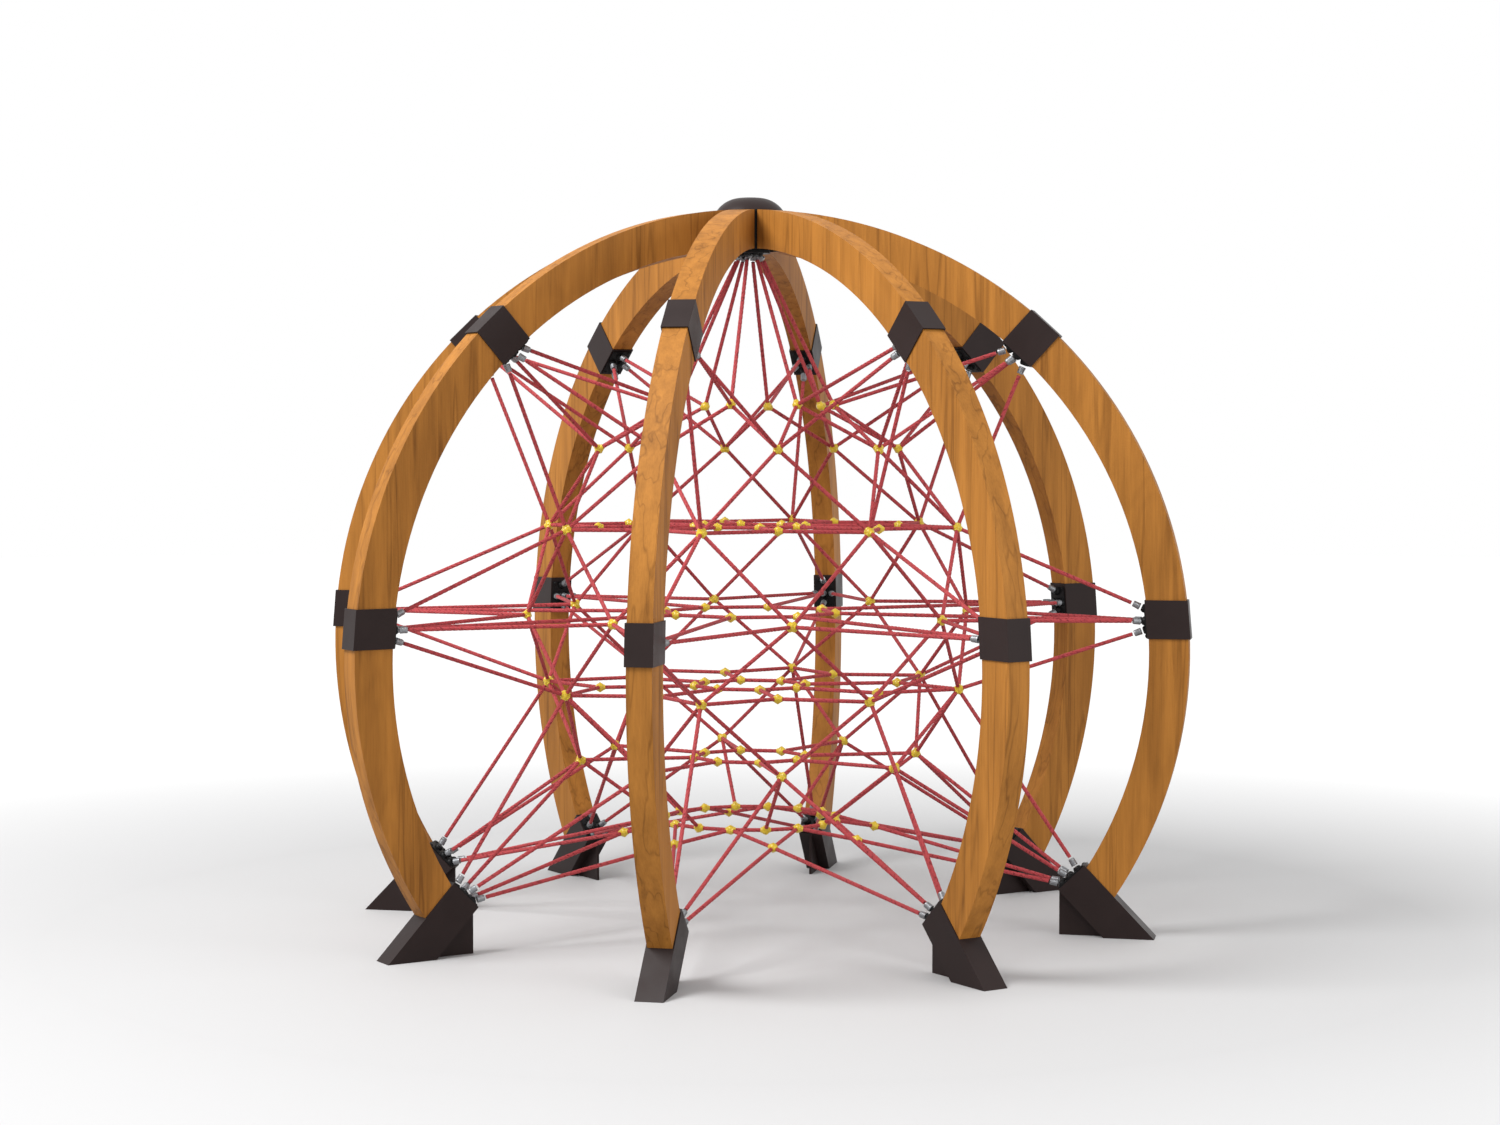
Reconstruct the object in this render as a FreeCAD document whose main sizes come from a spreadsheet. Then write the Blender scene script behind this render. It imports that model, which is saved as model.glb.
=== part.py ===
import FreeCAD, Part
import Sketcher
import math
import os
import re

# Dome climber.  Eight curved timber arches stand in steel shoes and meet at a hub.
# A taut rope net hangs inside them, joined by ball connectors.
# Frame: millimetres, +Z up, origin on the ground under the hub, arch 1 towards -Y.
# Arches are numbered anticlockwise seen from above.
# A leg's own plane has X outwards from the axis, Y across the leg and Z up.

SIZES = {
    # arches
    "leg_count": 8,
    "arc_radius": 2000,            # outer face of an arch, about the arc centre
    "arc_centre_share": 0.635,     # arc centre's height over the arc's radius
    "beam_depth": 175,             # towards the arc centre
    "beam_width": 106,
    # shoes
    "foot_angle": 31.5,            # shoe's seat corner, below the arc centre, degrees
    "seat_overhang": 13,           # shoe's inner edge beyond the beam's inner face
    "shoe_slope": 46,              # degrees below level
    "shoe_depth": 163,
    "shoe_width": 119,
    "shoe_wall": 6,
    "base_plate": 12,
    "gusset_thickness": 12,
    "anchor_hole": 16,
    "inner_hole_run": 62,          # from the shoe's ground edge to its inner anchor hole
    "anchor_hole_pitch": 96,
    # collars
    "collar_length": 172,
    "collar_wall": 5,
    "collar_clearance": 0.15,      # least gap between a collar and the beam's curved faces
    "collar_side_gap": 0.9,
    "middle_angle": 4.8,           # above the arc centre, degrees
    "upper_angle": 47.4,
    # hub
    "hub_beam_spread": 16,         # beam ends stand this far back from where they would meet
    "hub_seat_gap": 0.5,
    "hub_wall": 8,
    "hub_top_plate": 10,
    "rope_plate_radius": 92,
    "rope_plate_thickness": 14,
    "hub_dome_circle": 46,
    "hub_dome_radius": 17,
    "hub_setback": 11,
    "hub_ferrule_radius": 12,
    "hub_ferrule_wall": 0.6,       # over the rope at its thin end
    "hub_ferrule_length": 28,
    "cap_radius": 155,
    "cap_height": 62,
    "cap_flat_radius": 52,
    "cap_curve_radius": 135,
    "cap_wall": 6,
    "cap_top_plate": 11,
    "king_bolt_radius": 8,
    "king_head_radius": 16,
    "king_hole_gap": 0.4,
    "king_nut_size": 14,           # across its corners, halved
    "king_nut_height": 13,
    "king_bolt_end": 5,            # thread that shows under the nut
    # rope anchors and ferrules
    "plate_thickness": 6,
    "plate_width": 100,
    "plate_length": 152,
    "dome_radius": 20,
    "ferrule_setback": 14,         # from a dome's centre to its ferrule
    "ferrule_radius": 14,
    "ferrule_wall": 1.5,           # over the rope at its thin end
    "ferrule_length": 50,
    # screws
    "screw_radius": 4,
    "screw_head_radius": 8,
    "screw_head_height": 4,
    "screw_grip": 55,              # below the anchor plate's back
    "screw_short_grip": 22,
    "screw_across": 38,
    "screw_along": 66,
    "foot_screw_along": 18,        # the foot anchor's lower pair, above its lowest ropes
    "hole_gap": 0.3,
    "bolt_radius": 6,
    "bolt_head_radius": 11,
    "bolt_head_height": 8,
    "hub_bolt_embed": 110,
    "hub_bolt_pitch": 90,
    "foot_bolt_embed": 105,
    "foot_bolt_run": 62,           # from the seat corner to the first foot bolt
    "foot_bolt_pitch": 70,
    # ropes and connectors
    "rope_diameter": 18,
    "ball_radius": 21,             # to its facets
    "socket_wall": 2,
    "narrowest_rope_angle": 36,    # between two ropes of one connector, degrees
    # net rings: radius about the axis and height above the ground, for this arc radius
    "net_arc_radius": 2000,
    "crown_radius": 390,
    "crown_height": 2382,
    "shoulder_radius": 696,
    "shoulder_height": 2185,
    "upper_rim_radius": 958,
    "upper_spoke_radius": 700,
    "upper_eye_radius": 258,
    "upper_deck_height": 1830,
    "waist_radius": 1026,
    "waist_eye_radius": 398,
    "waist_height": 1435,
    "lower_rim_radius": 966,
    "lower_spoke_radius": 694,
    "lower_eye_radius": 258,
    "lower_deck_height": 1099,
    "skirt_radius": 784,
    "skirt_eye_radius": 258,
    "skirt_height": 769,
    "floor_rim_radius": 586,
    "floor_rim_height": 432,
    "floor_eye_radius": 400,
    "floor_height": 484,
}

# Connector rings: radius, height and place in the sector (0 at a leg, 0.5 between two legs).
RINGS = {
    "crown": ("crown_radius", "crown_height", 0),
    "shoulder": ("shoulder_radius", "shoulder_height", 0.5),
    "upper_rim": ("upper_rim_radius", "upper_deck_height", 0),
    "upper_spoke": ("upper_spoke_radius", "upper_deck_height", 0.5),
    "upper_eye": ("upper_eye_radius", "upper_deck_height", 0.5),
    "waist": ("waist_radius", "waist_height", 0.5),
    "waist_eye": ("waist_eye_radius", "waist_height", 0),
    "lower_rim": ("lower_rim_radius", "lower_deck_height", 0),
    "lower_spoke": ("lower_spoke_radius", "lower_deck_height", 0.5),
    "lower_eye": ("lower_eye_radius", "lower_deck_height", 0.5),
    "skirt": ("skirt_radius", "skirt_height", 0.5),
    "skirt_eye": ("skirt_eye_radius", "skirt_height", 0.5),
    "floor_rim": ("floor_rim_radius", "floor_rim_height", 0.5),
    "floor_leg_eye": ("floor_eye_radius", "floor_height", 0),
    "floor_gap_eye": ("floor_eye_radius", "floor_height", 0.5),
}

# Ropes of one sector, by node.  Each end is a ring and the sector it lies in.
NET_ROPES = {
    "dome_net_ropes": [
        ("crown", 0, "shoulder", 0), ("crown", 0, "shoulder", -1),
        ("shoulder", 0, "upper_rim", 0), ("shoulder", 0, "upper_rim", 1),
    ],
    "upper_deck_ropes": [
        ("upper_rim", 0, "upper_spoke", 0), ("upper_spoke", 0, "upper_rim", 1),
        ("upper_spoke", 0, "upper_eye", 0), ("upper_eye", 0, "upper_eye", 1),
    ],
    "waist_net_ropes": [
        ("upper_rim", 0, "waist", 0), ("upper_rim", 0, "waist", -1),
        ("waist", 0, "lower_rim", 0), ("waist", 0, "lower_rim", 1),
        ("waist_eye", 0, "waist_eye", 1),
    ],
    "lower_deck_ropes": [
        ("lower_rim", 0, "lower_spoke", 0), ("lower_spoke", 0, "lower_rim", 1),
        ("lower_spoke", 0, "lower_eye", 0), ("lower_eye", 0, "lower_eye", 1),
    ],
    "skirt_net_ropes": [
        ("lower_rim", 0, "skirt", 0), ("lower_rim", 0, "skirt", -1),
        ("skirt", 0, "skirt_eye", 0), ("skirt_eye", 0, "skirt_eye", 1),
        ("skirt", 0, "floor_gap_eye", 0),
    ],
    "floor_net_ropes": [
        ("floor_leg_eye", 0, "floor_gap_eye", 0), ("floor_gap_eye", 0, "floor_leg_eye", 1),
        ("floor_rim", 0, "floor_leg_eye", 0), ("floor_rim", 0, "floor_leg_eye", 1),
    ],
}

# Stay ropes: the place of each on its anchor plate (along, across) and the connector it holds.
STAYS = {
    "upper": [
        (45, 0, "crown", 0), (0, 24, "shoulder", 0), (0, -24, "shoulder", -1),
        (-45, 0, "upper_rim", 0),
    ],
    "middle": [
        (55, 0, "upper_rim", 0), (0, 30, "waist", 0), (0, -30, "waist", -1),
        (0, 0, "waist_eye", 0), (-40, 0, "lower_rim", 0),
    ],
    "foot": [
        (38, 0, "lower_rim", 0), (-10, 26, "skirt", 0), (-10, -26, "skirt", -1),
        (-54, 26, "floor_rim", 0), (-54, -26, "floor_rim", -1),
    ],
}

CONNECTOR_NODES = {
    "dome_net_connectors": ["crown", "shoulder"],
    "upper_deck_connectors": ["upper_rim", "upper_spoke", "upper_eye"],
    "waist_connectors": ["waist", "waist_eye"],
    "lower_deck_connectors": ["lower_rim", "lower_spoke", "lower_eye"],
    "skirt_connectors": ["skirt", "skirt_eye"],
    "floor_connectors": ["floor_rim", "floor_leg_eye", "floor_gap_eye"],
}

# Places that several pieces share, as expressions of the sizes.
INNER_RADIUS = "(arc_radius - beam_depth)"
ARC_CENTRE = "(arc_radius * arc_centre_share)"
HUB_SEAT = "(beam_width / (2 * tan(180 / leg_count)) + hub_beam_spread)"
# A straight collar clears the curved beam by the arc's rise over the collar's longer side.
COLLAR_RUN = "(collar_length / 2 + beam_depth / 2 * tan(middle_angle))"
COLLAR_GAP = f"({COLLAR_RUN} ^ 2 / (2 * {INNER_RADIUS}) + collar_clearance)"
SEAT_RADIUS = "(arc_radius - beam_depth - seat_overhang)"
SEAT_X = f"({SEAT_RADIUS} * cos(foot_angle))"
SEAT_Z = f"({ARC_CENTRE} - {SEAT_RADIUS} * sin(foot_angle))"
HUB_TOP = f"({ARC_CENTRE} + sqrt(arc_radius ^ 2 - {HUB_SEAT} ^ 2))"
HUB_BOTTOM = f"({ARC_CENTRE} + sqrt({INNER_RADIUS} ^ 2 - {HUB_SEAT} ^ 2))"
HUB_APOTHEM = f"({HUB_SEAT} - hub_seat_gap)"
ROPE_PLATE_BOTTOM = f"({HUB_BOTTOM} - rope_plate_thickness)"
HUB_MIDDLE = f"(({HUB_TOP} + {HUB_BOTTOM}) / 2)"
FERRULE_TIP = "(rope_diameter / 2 + ferrule_wall)"
HUB_FERRULE_TIP = "(rope_diameter / 2 + hub_ferrule_wall)"
SOCKET_RADIUS = "(rope_diameter / 2 + socket_wall)"
# From a ball's centre to where its ropes start: two neighbouring ropes clear each other there.
SOCKET_REACH = "((rope_diameter + socket_wall) / sin(narrowest_rope_angle))"

doc = FreeCAD.newDocument("dome_climber")
nodes = []


# ---------------------------------------------------------------- sheet and helpers

def fill_sheet():
    sheet = doc.addObject("Spreadsheet::Sheet", "Sizes")
    for row, (name, size) in enumerate(SIZES.items(), 1):
        sheet.set(f"A{row}", name)
        sheet.set(f"B{row}", str(size))
        sheet.setAlias(f"B{row}", name)
    doc.recompute()
    return sheet


sizes = fill_sheet()


def bound(expression):
    """Every size's name has an underscore in it, and no function's name has."""
    return re.sub(r"\b([a-z]+(?:_[a-z]+)+)\b", r"Sizes.\1", str(expression))


def number(expression):
    value = sizes.evalExpression(bound(expression))
    return float(getattr(value, "Value", value))


def vector(x, y, z):
    return FreeCAD.Vector(number(x), number(y), number(z))


def add(kind, name, **bindings):
    piece = doc.addObject(kind, name)
    for prop, expression in bindings.items():
        piece.setExpression(prop, bound(expression))
    return piece


def facing(start, direction):
    """A placement at start whose Z axis runs along direction."""
    turn = FreeCAD.Rotation(FreeCAD.Vector(0, 0, 1), direction)
    return FreeCAD.Placement(start, turn)


def leg_turn(leg):
    angle = 360.0 / LEGS * leg - 90
    return FreeCAD.Placement(FreeCAD.Vector(), FreeCAD.Rotation(FreeCAD.Vector(0, 0, 1), angle))


def rod(name, radius, length, start, direction):
    piece = add("Part::Cylinder", name, Radius=radius, Height=length)
    piece.Placement = facing(start, direction)
    return piece


def fused(name, pieces):
    fuse = doc.addObject("Part::MultiFuse", name)
    fuse.Shapes = pieces
    return fuse


def cut(name, base, tool):
    result = doc.addObject("Part::Cut", name)
    result.Base = base
    result.Tool = tool
    return result


def node(piece, label):
    piece.Label = label
    nodes.append(piece)
    return piece


def turned_copies(name, pieces):
    """The pieces of one leg, linked once for every leg."""
    sector = doc.addObject("Part::Compound", name + "_sector")
    sector.Links = pieces
    links = []
    for leg in range(LEGS):
        link = doc.addObject("App::Link", f"{name}_{leg + 1}")
        link.LinkedObject = sector
        link.Placement = leg_turn(leg)
        links.append(link)
    ring = doc.addObject("Part::Compound", name + "_ring")
    ring.Links = links
    return ring


def ring_node(label, pieces):
    return node(turned_copies(label, pieces), label)


LEGS = int(number("leg_count"))


# ---------------------------------------------------------------- sketches and bodies

def new_sketch(body, name, role):
    sketch = body.newObject("Sketcher::SketchObject", name)
    plane = [item for item in body.Origin.OriginFeatures if item.Role == role][0]
    sketch.AttachmentSupport = [(plane, "")]
    sketch.MapMode = "FlatFace"
    return sketch


def hold(sketch, curve, end, x, y):
    """Tie a curve's end to a place that the sheet gives."""
    for kind, expression, axis in (("DistanceX", x, -2), ("DistanceY", y, -1)):
        place = number(expression)
        if abs(place) < 1e-9:
            sketch.addConstraint(Sketcher.Constraint("PointOnObject", curve, end, axis))
            continue
        index = sketch.addConstraint(Sketcher.Constraint(kind, -1, 1, curve, end, place))
        sketch.setExpression(f"Constraints[{index}]", bound(expression))


def radius_of(sketch, curve, expression):
    index = sketch.addConstraint(Sketcher.Constraint("Radius", curve, number(expression)))
    sketch.setExpression(f"Constraints[{index}]", bound(expression))


def polygon(sketch, corners):
    points = [vector(x, y, 0) for x, y in corners]
    count = len(points)
    for index in range(count):
        sketch.addGeometry(Part.LineSegment(points[index], points[(index + 1) % count]), False)
    for index in range(count):
        following = (index + 1) % count
        sketch.addConstraint(Sketcher.Constraint("Coincident", index, 2, following, 1))
    for index, (x, y) in enumerate(corners):
        hold(sketch, index, 1, x, y)


def symmetric(body, kind, name, sketch, width):
    feature = body.newObject(kind, name)
    feature.Profile = sketch
    if "SideType" in feature.PropertiesList:
        feature.SideType = "Symmetric"
    else:
        feature.Midplane = True
    feature.setExpression("Length", bound(width))
    return feature


def drill(body, name, radius, length, start, direction):
    hole = body.newObject("PartDesign::SubtractiveCylinder", name)
    hole.setExpression("Radius", bound(radius))
    hole.setExpression("Height", bound(length))
    hole.Placement = facing(start, direction)
    return hole


def beam_end(radius, run_start, run_direction):
    """Where the seat line leaves a circle about the arc centre."""
    from_centre = run_start - vector(0, ARC_CENTRE, 0)
    along = from_centre.dot(run_direction)
    run = -along + math.sqrt(along ** 2 - from_centre.Length ** 2 + radius ** 2)
    return run_start + run_direction * run


# ---------------------------------------------------------------- points in a leg's plane

def seat_point(run, drop):
    """A point down the shoe's slope from the seat corner, and below its top face."""
    x = f"({SEAT_X} + ({run}) * cos(shoe_slope) - ({drop}) * sin(shoe_slope))"
    z = f"({SEAT_Z} - ({run}) * sin(shoe_slope) - ({drop}) * cos(shoe_slope))"
    return x, z


def slope_at_height(drop, height):
    """Where a line below the shoe's top face reaches a height."""
    x = (f"({SEAT_X} - ({drop}) * sin(shoe_slope)"
         f" + ({SEAT_Z} - ({drop}) * cos(shoe_slope) - ({height})) / tan(shoe_slope))")
    return x, height


class Site:
    """The face that a rope anchor sits on: its centre, the way it faces, and along it."""

    def __init__(self, centre, facing_way, along_way):
        self.centre = centre
        self.out = facing_way
        self.along = along_way

    def place(self, along, across, above):
        offset = self.along * along + FreeCAD.Vector(0, across, 0) + self.out * above
        return self.centre + offset


def collar_site(angle):
    tilt = math.radians(number(angle))
    way_in = FreeCAD.Vector(-math.cos(tilt), 0, -math.sin(tilt))
    along = FreeCAD.Vector(-math.sin(tilt), 0, math.cos(tilt))
    face = number(f"{INNER_RADIUS} - {COLLAR_GAP} - collar_wall")
    centre = vector(0, 0, ARC_CENTRE) - way_in * face
    return Site(centre, way_in, along)


def foot_site():
    slope = math.radians(number("shoe_slope"))
    x, z = seat_point("0", "shoe_depth / 2")
    way_in = FreeCAD.Vector(-math.cos(slope), 0, math.sin(slope))
    along = FreeCAD.Vector(math.sin(slope), 0, math.cos(slope))
    return Site(vector(x, 0, z), way_in, along)


SITES = {
    "upper": collar_site("upper_angle"),
    "middle": collar_site("middle_angle"),
    "foot": foot_site(),
}


def net_point(ring, step):
    radius, height, share = RINGS[ring]
    angle = 2 * math.pi / LEGS * (step + share)
    reach, rise = (number(f"{size} * arc_radius / net_arc_radius") for size in (radius, height))
    return FreeCAD.Vector(reach * math.cos(angle), reach * math.sin(angle), rise)


def screw_spots(name):
    across = number("screw_across")
    high = number("screw_along")
    low = number("foot_screw_along") if name == "foot" else -high
    return [(along, side) for along in (high, low) for side in (across, -across)]


# ---------------------------------------------------------------- timber arches

def beam_profile(sketch):
    centre = vector(0, ARC_CENTRE, 0)
    slope = math.radians(number("shoe_slope"))
    seat = vector(SEAT_X, SEAT_Z, 0)
    way = FreeCAD.Vector(math.cos(slope), -math.sin(slope), 0)
    radii = ("arc_radius", INNER_RADIUS)
    for radius in radii:
        size = number(radius)
        low = beam_end(size, seat, way) - centre
        start = math.atan2(low.y, low.x)
        end = math.acos(number(HUB_SEAT) / size)
        circle = Part.Circle(centre, FreeCAD.Vector(0, 0, 1), size)
        sketch.addGeometry(Part.ArcOfCircle(circle, start, end), False)
    ends = [[sketch.getPoint(curve, end) for end in (1, 2)] for curve in (0, 1)]
    sketch.addGeometry(Part.LineSegment(ends[0][1], ends[1][1]), False)
    sketch.addGeometry(Part.LineSegment(ends[1][0], ends[0][0]), False)
    far = seat_point("2 * beam_depth", "0")
    sketch.addGeometry(Part.LineSegment(seat, vector(*far, 0)), True)
    hold(sketch, 0, 3, 0, ARC_CENTRE)
    sketch.addConstraint(Sketcher.Constraint("Coincident", 0, 3, 1, 3))
    for curve, radius in enumerate(radii):
        radius_of(sketch, curve, radius)
    for first, second in (((0, 2), (2, 1)), ((1, 2), (2, 2)), ((1, 1), (3, 1)), ((0, 1), (3, 2))):
        sketch.addConstraint(Sketcher.Constraint("Coincident", *first, *second))
    sketch.addConstraint(Sketcher.Constraint("Vertical", 2))
    index = sketch.addConstraint(
        Sketcher.Constraint("DistanceX", -1, 1, 2, 1, number(HUB_SEAT)))
    sketch.setExpression(f"Constraints[{index}]", bound(HUB_SEAT))
    hold(sketch, 4, 1, SEAT_X, SEAT_Z)
    hold(sketch, 4, 2, *far)
    for curve in (0, 1):
        sketch.addConstraint(Sketcher.Constraint("PointOnObject", curve, 1, 4))


def hub_bolt_places():
    middle = number(HUB_MIDDLE)
    half = number("hub_bolt_pitch / 2")
    return [FreeCAD.Vector(number(HUB_APOTHEM), 0, middle + side * half) for side in (-1, 1)]


def foot_bolt_places():
    """Under the shoe's top wall, where the bolt heads bear."""
    places = []
    for run in ("foot_bolt_run", "foot_bolt_run + foot_bolt_pitch"):
        x, z = seat_point(run, "shoe_wall")
        places.append(vector(x, 0, z))
    return places


def seat_normal():
    slope = math.radians(number("shoe_slope"))
    return FreeCAD.Vector(math.sin(slope), 0, math.cos(slope))


def arch_beam(leg):
    body = doc.addObject("PartDesign::Body", f"ArchBeam{leg + 1}")
    sketch = new_sketch(body, f"BeamProfile{leg + 1}", "XZ_Plane")
    beam_profile(sketch)
    symmetric(body, "PartDesign::Pad", f"Beam{leg + 1}", sketch, "beam_width")
    outward = FreeCAD.Vector(1, 0, 0)
    for place in hub_bolt_places():
        drill(body, "HubBoltHole", "bolt_radius + hole_gap", "hub_bolt_embed + 5", place, outward)
    for place in foot_bolt_places():
        drill(body, "FootBoltHole", "bolt_radius + hole_gap",
              "shoe_wall + foot_bolt_embed + 5", place, seat_normal())
    for name in ("upper", "middle"):
        site = SITES[name]
        for along, across in screw_spots(name):
            drill(body, "AnchorScrewHole", "screw_radius + hole_gap", "screw_grip + 5",
                  site.place(along, across, 0), site.out * -1)
    body.Placement = leg_turn(leg)
    node(body, f"arch_beam_{leg + 1}")


# ---------------------------------------------------------------- shoes and collars

def shoe(leg):
    body = doc.addObject("PartDesign::Body", f"Shoe{leg + 1}")
    outline = new_sketch(body, f"ShoeOutline{leg + 1}", "XZ_Plane")
    polygon(outline, [seat_point(0, 0), seat_point(0, "shoe_depth"),
                      slope_at_height("shoe_depth", "0"), slope_at_height(0, "0")])
    symmetric(body, "PartDesign::Pad", f"ShoeBox{leg + 1}", outline, "shoe_width")
    hollow = new_sketch(body, f"ShoeHollow{leg + 1}", "XZ_Plane")
    polygon(hollow, [seat_point("shoe_wall", "shoe_wall"),
                     seat_point("shoe_wall", "shoe_depth - shoe_wall"),
                     slope_at_height("shoe_depth - shoe_wall", "base_plate"),
                     slope_at_height("shoe_wall", "base_plate")])
    symmetric(body, "PartDesign::Pocket", f"ShoeInside{leg + 1}", hollow,
              "shoe_width - 2 * shoe_wall")
    web = new_sketch(body, f"GussetOutline{leg + 1}", "XZ_Plane")
    corner = seat_point(0, "shoe_depth")
    polygon(web, [(corner[0], "0"), slope_at_height("shoe_depth", "0"), corner])
    symmetric(body, "PartDesign::Pad", f"Gusset{leg + 1}", web, "gusset_thickness")
    up = FreeCAD.Vector(0, 0, 1)
    for run in ("inner_hole_run", "inner_hole_run + anchor_hole_pitch"):
        x = f"{slope_at_height('shoe_depth', '0')[0]} + {run}"
        drill(body, "AnchorHole", "anchor_hole / 2", "base_plate + 2", vector(x, 0, -1), up)
    for place in foot_bolt_places():
        drill(body, "FootBoltHole", "bolt_radius + hole_gap", "shoe_wall + 2",
              place - seat_normal(), seat_normal())
    site = SITES["foot"]
    for along, across in screw_spots("foot"):
        drill(body, "AnchorScrewHole", "screw_radius + hole_gap", "shoe_wall + 2",
              site.place(along, across, 1), site.out * -1)
    body.Placement = leg_turn(leg)
    node(body, f"foot_shoe_{leg + 1}")


def collar_corners(angle, level_ends, length, inset):
    """The four corners of a collar's profile, or of the space inside it."""
    outer = f"(arc_radius + {COLLAR_GAP} + collar_wall - ({inset}))"
    inner = f"({INNER_RADIUS} - {COLLAR_GAP} - collar_wall + ({inset}))"
    corners = []
    for radius, side in ((inner, -1), (outer, -1), (outer, 1), (inner, 1)):
        along = f"({side} * ({length}) / 2)"
        if level_ends:
            middle = f"((arc_radius - beam_depth / 2) * tan({angle}))"
            along = f"(({along} + ({middle}) * cos({angle}) - {radius} * sin({angle})) / cos({angle}))"
        x = f"({radius} * cos({angle}) - {along} * sin({angle}))"
        z = f"({ARC_CENTRE} + {radius} * sin({angle}) + {along} * cos({angle}))"
        corners.append((x, z))
    return corners


def collar(leg, name, angle, level_ends):
    site = SITES[name]
    tag = f"{name.title()}Collar{leg + 1}"
    body = doc.addObject("PartDesign::Body", tag)
    outline = new_sketch(body, tag + "Outline", "XZ_Plane")
    polygon(outline, collar_corners(angle, level_ends, "collar_length", "0"))
    symmetric(body, "PartDesign::Pad", tag + "Block", outline,
              "beam_width + 2 * collar_side_gap + 2 * collar_wall")
    inside = new_sketch(body, tag + "Inside", "XZ_Plane")
    polygon(inside, collar_corners(angle, level_ends, "collar_length + 40", "collar_wall"))
    symmetric(body, "PartDesign::Pocket", tag + "Opening", inside,
              "beam_width + 2 * collar_side_gap")
    for along, across in screw_spots(name):
        drill(body, "AnchorScrewHole", "screw_radius + hole_gap", "collar_wall + 2",
              site.place(along, across, 1), site.out * -1)
    body.Placement = leg_turn(leg)
    node(body, f"{name}_collar_{leg + 1}")


# ---------------------------------------------------------------- hub

def octagon(name, apothem, bottom, top):
    piece = add("Part::Prism", name, Circumradius=f"({apothem}) / cos(180 / leg_count)",
                Height=f"{top} - {bottom}")
    piece.Polygon = LEGS
    turn = FreeCAD.Rotation(FreeCAD.Vector(0, 0, 1), 180.0 / LEGS)
    piece.Placement = FreeCAD.Placement(vector(0, 0, bottom), turn)
    return piece


def hub_core():
    up = FreeCAD.Vector(0, 0, 1)
    block = octagon("HubBlock", HUB_APOTHEM, HUB_BOTTOM, HUB_TOP)
    inside = octagon("HubInside", f"{HUB_APOTHEM} - hub_wall", f"({HUB_BOTTOM} - 1)",
                     f"({HUB_TOP} - hub_top_plate)")
    holes = [rod(f"HubWallHole{index}", "bolt_radius + hole_gap", "hub_wall + 2",
                 place - FreeCAD.Vector(number("hub_wall + 1"), 0, 0), FreeCAD.Vector(1, 0, 0))
             for index, place in enumerate(hub_bolt_places())]
    wall_holes = turned_copies("hub_wall_holes", holes)
    king = rod("HubKingHole", "king_bolt_radius + king_hole_gap", "hub_top_plate + 4",
               vector(0, 0, f"{HUB_TOP} - hub_top_plate - 2"), up)
    hollow = cut("HubHollow", block, inside)
    drilled = cut("HubDrilled", hollow, wall_holes)
    node(cut("HubCore", drilled, king), "hub_core")


def hub_stay():
    """The start of a leg's hub rope, and the way it runs."""
    start = vector("hub_dome_circle", 0, ROPE_PLATE_BOTTOM)
    way = net_point("crown", 0) - start
    return start, way.normalize()


def hub_rope_plate():
    up = FreeCAD.Vector(0, 0, 1)
    start, way = hub_stay()
    disc = rod("RopePlateDisc", "rope_plate_radius", "rope_plate_thickness",
               vector(0, 0, ROPE_PLATE_BOTTOM), up)
    dome = half_ball("HubDome", "hub_dome_radius", start, FreeCAD.Vector(0, 0, -1))
    facet = rod("HubFacet", "hub_dome_radius + 1", "hub_dome_radius",
                start + way * number("hub_setback"), way)
    cut_dome = cut("HubDomeFaced", dome, facet)
    domes = turned_copies("hub_domes", [cut_dome])
    king = rod("RopePlateKingHole", "king_bolt_radius + king_hole_gap",
               "rope_plate_thickness + 4", vector(0, 0, f"{ROPE_PLATE_BOTTOM} - 2"), up)
    node(cut("HubRopePlate", fused("HubPlateAndDomes", [disc, domes]), king), "hub_rope_plate")


def cap_arc(low, high, radius):
    """The bulging arc of the cap between its rim and its flat top."""
    chord = high - low
    middle = (low + high) * 0.5
    inward = FreeCAD.Vector(-chord.y, chord.x, 0).normalize()
    centre = middle + inward * math.sqrt(radius ** 2 - (chord.Length / 2) ** 2)
    start = math.atan2(low.y - centre.y, low.x - centre.x)
    end = math.atan2(high.y - centre.y, high.x - centre.x)
    return Part.ArcOfCircle(Part.Circle(centre, FreeCAD.Vector(0, 0, 1), radius), start, end)


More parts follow.
